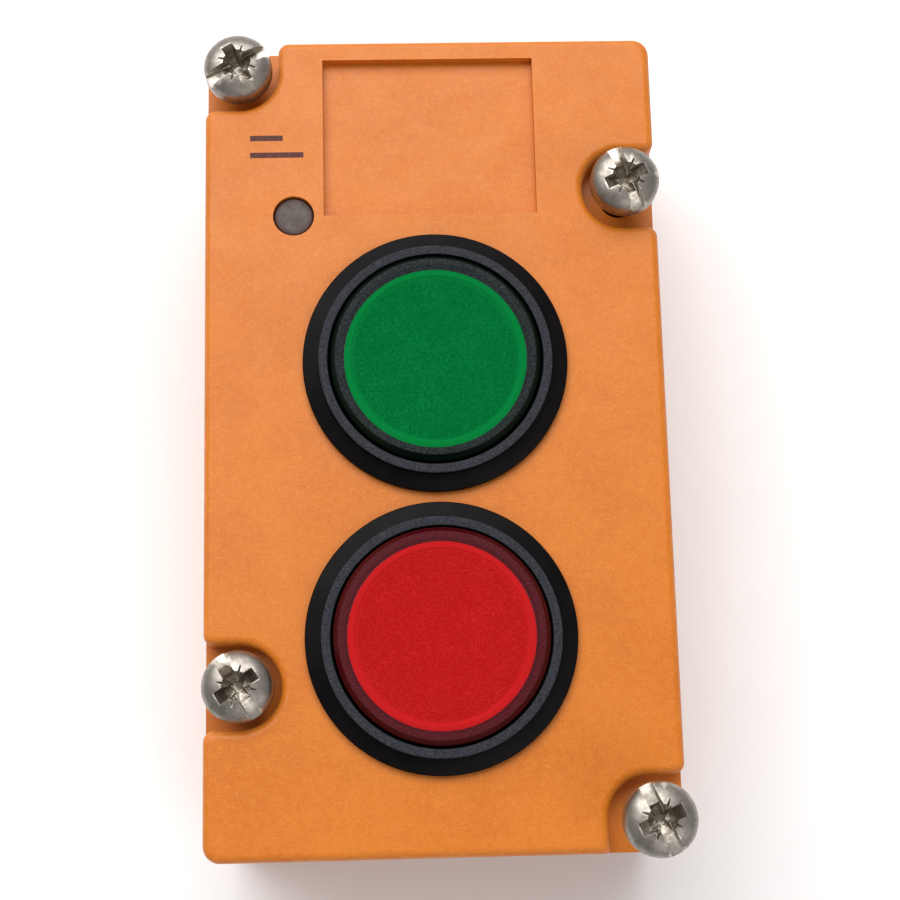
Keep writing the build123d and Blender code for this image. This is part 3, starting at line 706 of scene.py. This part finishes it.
def make_buttons():
    """Detailed bezels, caps and discs in place of the CAD ones."""
    bezel = bezel_mesh()
    bezel.materials.append(bezel_plastic().material)
    for colour in COLOURS:
        place = button_place(colour)
        ring = new_piece(f"{colour}_bezel_ring", bezel, place)
        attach(ring, "housing")
        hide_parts(f"{colour}_bezel")
        cap = new_piece(f"{colour}_cap", cap_mesh(colour), place)
        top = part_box(f"{colour}_lens_cap")[1].z - FACE_Z
        cap.data.materials.append(cap_plastic(f"{colour}_lens", top, *CAP_LOOKS[colour]).material)
        cap.visible_shadow = False
        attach(cap, f"{colour}_button")
        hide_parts(f"{colour}_lens_cap")
        disc = new_piece(f"{colour}_disc", disc_mesh(colour), place)
        disc.data.materials.append(disc_plastic(f"{colour}_disc", *DISC_LOOKS[colour]).material)
        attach(disc, f"{colour}_button")
        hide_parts(f"{colour}_diffuser")


# ------------------------------------------------------------------ return springs
def make_springs():
    """Coils in place of the CAD ones."""
    steel = small_metal("spring_steel", srgb(196, 196, 196), srgb(168, 168, 168), 0.26).material
    for colour in COLOURS:
        cad_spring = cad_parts[f"{colour}_return_spring"]
        mesh = cad_spring.data.copy()
        mesh.transform(cad_spring.matrix_world)
        mesh.materials.clear()
        mesh.materials.append(steel)
        coil = new_piece(f"{colour}_coil", mesh, (0, 0, 0))
        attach(coil, "housing")
        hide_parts(f"{colour}_return_spring")
        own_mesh(coil)


# ------------------------------------------------------------------ printed bars
PRINT_LEFT = -17.6 * MM
PRINT_BARS = ((29.4 * MM, 3.2 * MM), (27.65 * MM, 5.2 * MM))
PRINT_BAR_H = 0.55 * MM
PRINT_THICKNESS = 0.012 * MM


def make_printed_bars():
    """Two plain printed bars beside the status window; a bar is (middle height, length)."""
    ink = printing_ink().material
    for index, (middle, length) in enumerate(PRINT_BARS):
        bar = box_outline(length / 2, PRINT_BAR_H / 2)
        mesh = lofted_cutter(f"printed_bar_{index + 1}", [(PRINT_THICKNESS, bar), (0, bar)])
        mesh.materials.append(ink)
        piece = new_piece(f"printed_bar_{index + 1}", mesh, (PRINT_LEFT + length / 2, middle, FACE_Z))
        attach(piece, "housing")


# ------------------------------------------------------------------ materials of the CAD nodes
def dress_cad_nodes():
    """Gives every CAD node that stays visible its procedural material."""
    black = moulded("cover_black", srgb(38, 37, 38), srgb(30, 29, 30), rough=0.5, grain=0.25 * MM)
    rubber = moulded(
        "seal_rubber", srgb(30, 30, 31), srgb(22, 22, 23), rough=0.72, grain=0.4 * MM, mottle=3 * MM,
    )
    nylon = moulded("ring_nylon", srgb(214, 208, 192), srgb(200, 192, 174), rough=0.45, grain=0.2 * MM)
    white = moulded("plunger_white", srgb(224, 222, 214), srgb(212, 209, 200), rough=0.42)
    nut = moulded("nut_grey", srgb(92, 94, 98), srgb(80, 82, 86), rough=0.5)
    switch = moulded("switch_black", srgb(34, 34, 36), srgb(26, 26, 28), rough=0.4)
    stem = moulded("stem_white", srgb(230, 228, 220), srgb(218, 214, 205), rough=0.35)
    chip = moulded("chip_black", srgb(30, 30, 32), srgb(40, 40, 42), rough=0.6, grain=0.1 * MM)
    choke = moulded("choke_ferrite", srgb(58, 52, 48), srgb(44, 40, 38), rough=0.4, grain=0.3 * MM)
    steel = small_metal("small_steel", srgb(190, 188, 182), srgb(160, 156, 150), 0.3)
    can = small_metal("can_aluminium", srgb(206, 206, 208), srgb(182, 182, 186), 0.36)
    brass = small_metal("pin_brass", srgb(214, 178, 92), srgb(188, 148, 70), 0.25)
    looks = {
        "front_housing": orange_plastic(), "rear_cover": black, "contact_shroud": black,
        "rear_seal": rubber, "contact_seal": rubber, "cover_screws": steel, "board_screws": steel,
        "contact_pins": brass, "circuit_board": board_laminate(), "bus_chip": chip, "supply_choke": choke,
        "buffer_capacitors": can, "status_led": clear_diode(), "status_light_guide": smoky_window(),
    }
    for name in SCREW_TURNS:
        looks[f"retaining_ring_{name}"] = nylon
    for colour in COLOURS:
        looks[f"{colour}_bezel_gasket"] = rubber
        looks[f"{colour}_lock_nut"] = nut
        looks[f"{colour}_plunger"] = white
        looks[f"{colour}_switch_body"] = switch
        looks[f"{colour}_switch_stem"] = stem
        looks[f"{colour}_lamp_led"] = looks["status_led"]
    for node, look in looks.items():
        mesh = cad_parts[node].data
        mesh.materials.clear()
        mesh.materials.append(look.material)


# ------------------------------------------------------------------ floor, light and camera
FLOOR_SIZE = 3.0
FLOOR_GAP = 0.02 * MM
CAMERA_PLACE = (-3.48 * MM, -32.0 * MM, 180.7 * MM)
CAMERA_TILT = (11.21, -1.49, -1.41)
LENS_MM = 65.5


def make_stage():
    """Pale floor that the module lies on."""
    mesh = bpy.data.meshes.new("floor")
    corners = [(x, y, 0) for x, y in box_outline(FLOOR_SIZE / 2, FLOOR_SIZE / 2)]
    mesh.from_pydata(corners, [], [(0, 1, 2, 3)])
    floor = new_piece("floor", mesh, (0, 0, -FLOOR_GAP))
    s = Shader("floor_paper", Roughness=0.9, Specular_IOR_Level=0.1)
    paper = s.noise(40 * MM, 2.0)
    cloud = s.span(paper, 0.3, 0.7, 0, 1)
    s.set("Base Color", s.blend(cloud, (0.94, 0.945, 0.95, 1), (0.92, 0.925, 0.93, 1)))
    mesh.materials.append(s.material)


def add_light(name, place, target, size, power):
    """Soft rectangular light that points at a target."""
    lamp = bpy.data.lights.new(name, "AREA")
    lamp.shape = "RECTANGLE"
    lamp.size, lamp.size_y = size
    lamp.energy = power
    light = bpy.data.objects.new(name, lamp)
    light.location = place
    direction = Vector(target) - Vector(place)
    light.rotation_euler = direction.to_track_quat("-Z", "Y").to_euler()
    bpy.context.scene.collection.objects.link(light)


def make_lights():
    """Large soft key beyond the label end, a weak fill from the other side and a dim sky."""
    middle = (0, 0, FACE_Z)
    add_light("key", (-0.2, 0.58, 0.86), middle, (1.2, 0.9), 14.0)
    add_light("fill", (0.45, -0.65, 0.7), middle, (1.0, 0.8), 2.8)
    world = bpy.data.worlds.new("studio")
    world.use_nodes = True
    sky = world.node_tree.nodes["Background"]
    sky.inputs["Color"].default_value = (1.0, 1.0, 1.0, 1)
    sky.inputs["Strength"].default_value = 0.34
    bpy.context.scene.world = world


def make_camera():
    """Camera nearly over the module, a little towards its lower end."""
    lens = bpy.data.cameras.new("camera")
    lens.lens = LENS_MM
    lens.sensor_width = 36
    lens.clip_start, lens.clip_end = 0.005, 20
    camera = bpy.data.objects.new("camera", lens)
    camera.location = CAMERA_PLACE
    camera.rotation_euler = [math.radians(angle) for angle in CAMERA_TILT]
    bpy.context.scene.collection.objects.link(camera)
    bpy.context.scene.camera = camera
    bpy.context.scene.view_settings.view_transform = "Standard"


make_camera()
make_stage()
make_lights()
dress_cad_nodes()
make_buttons()
make_screws()
make_springs()
make_printed_bars()
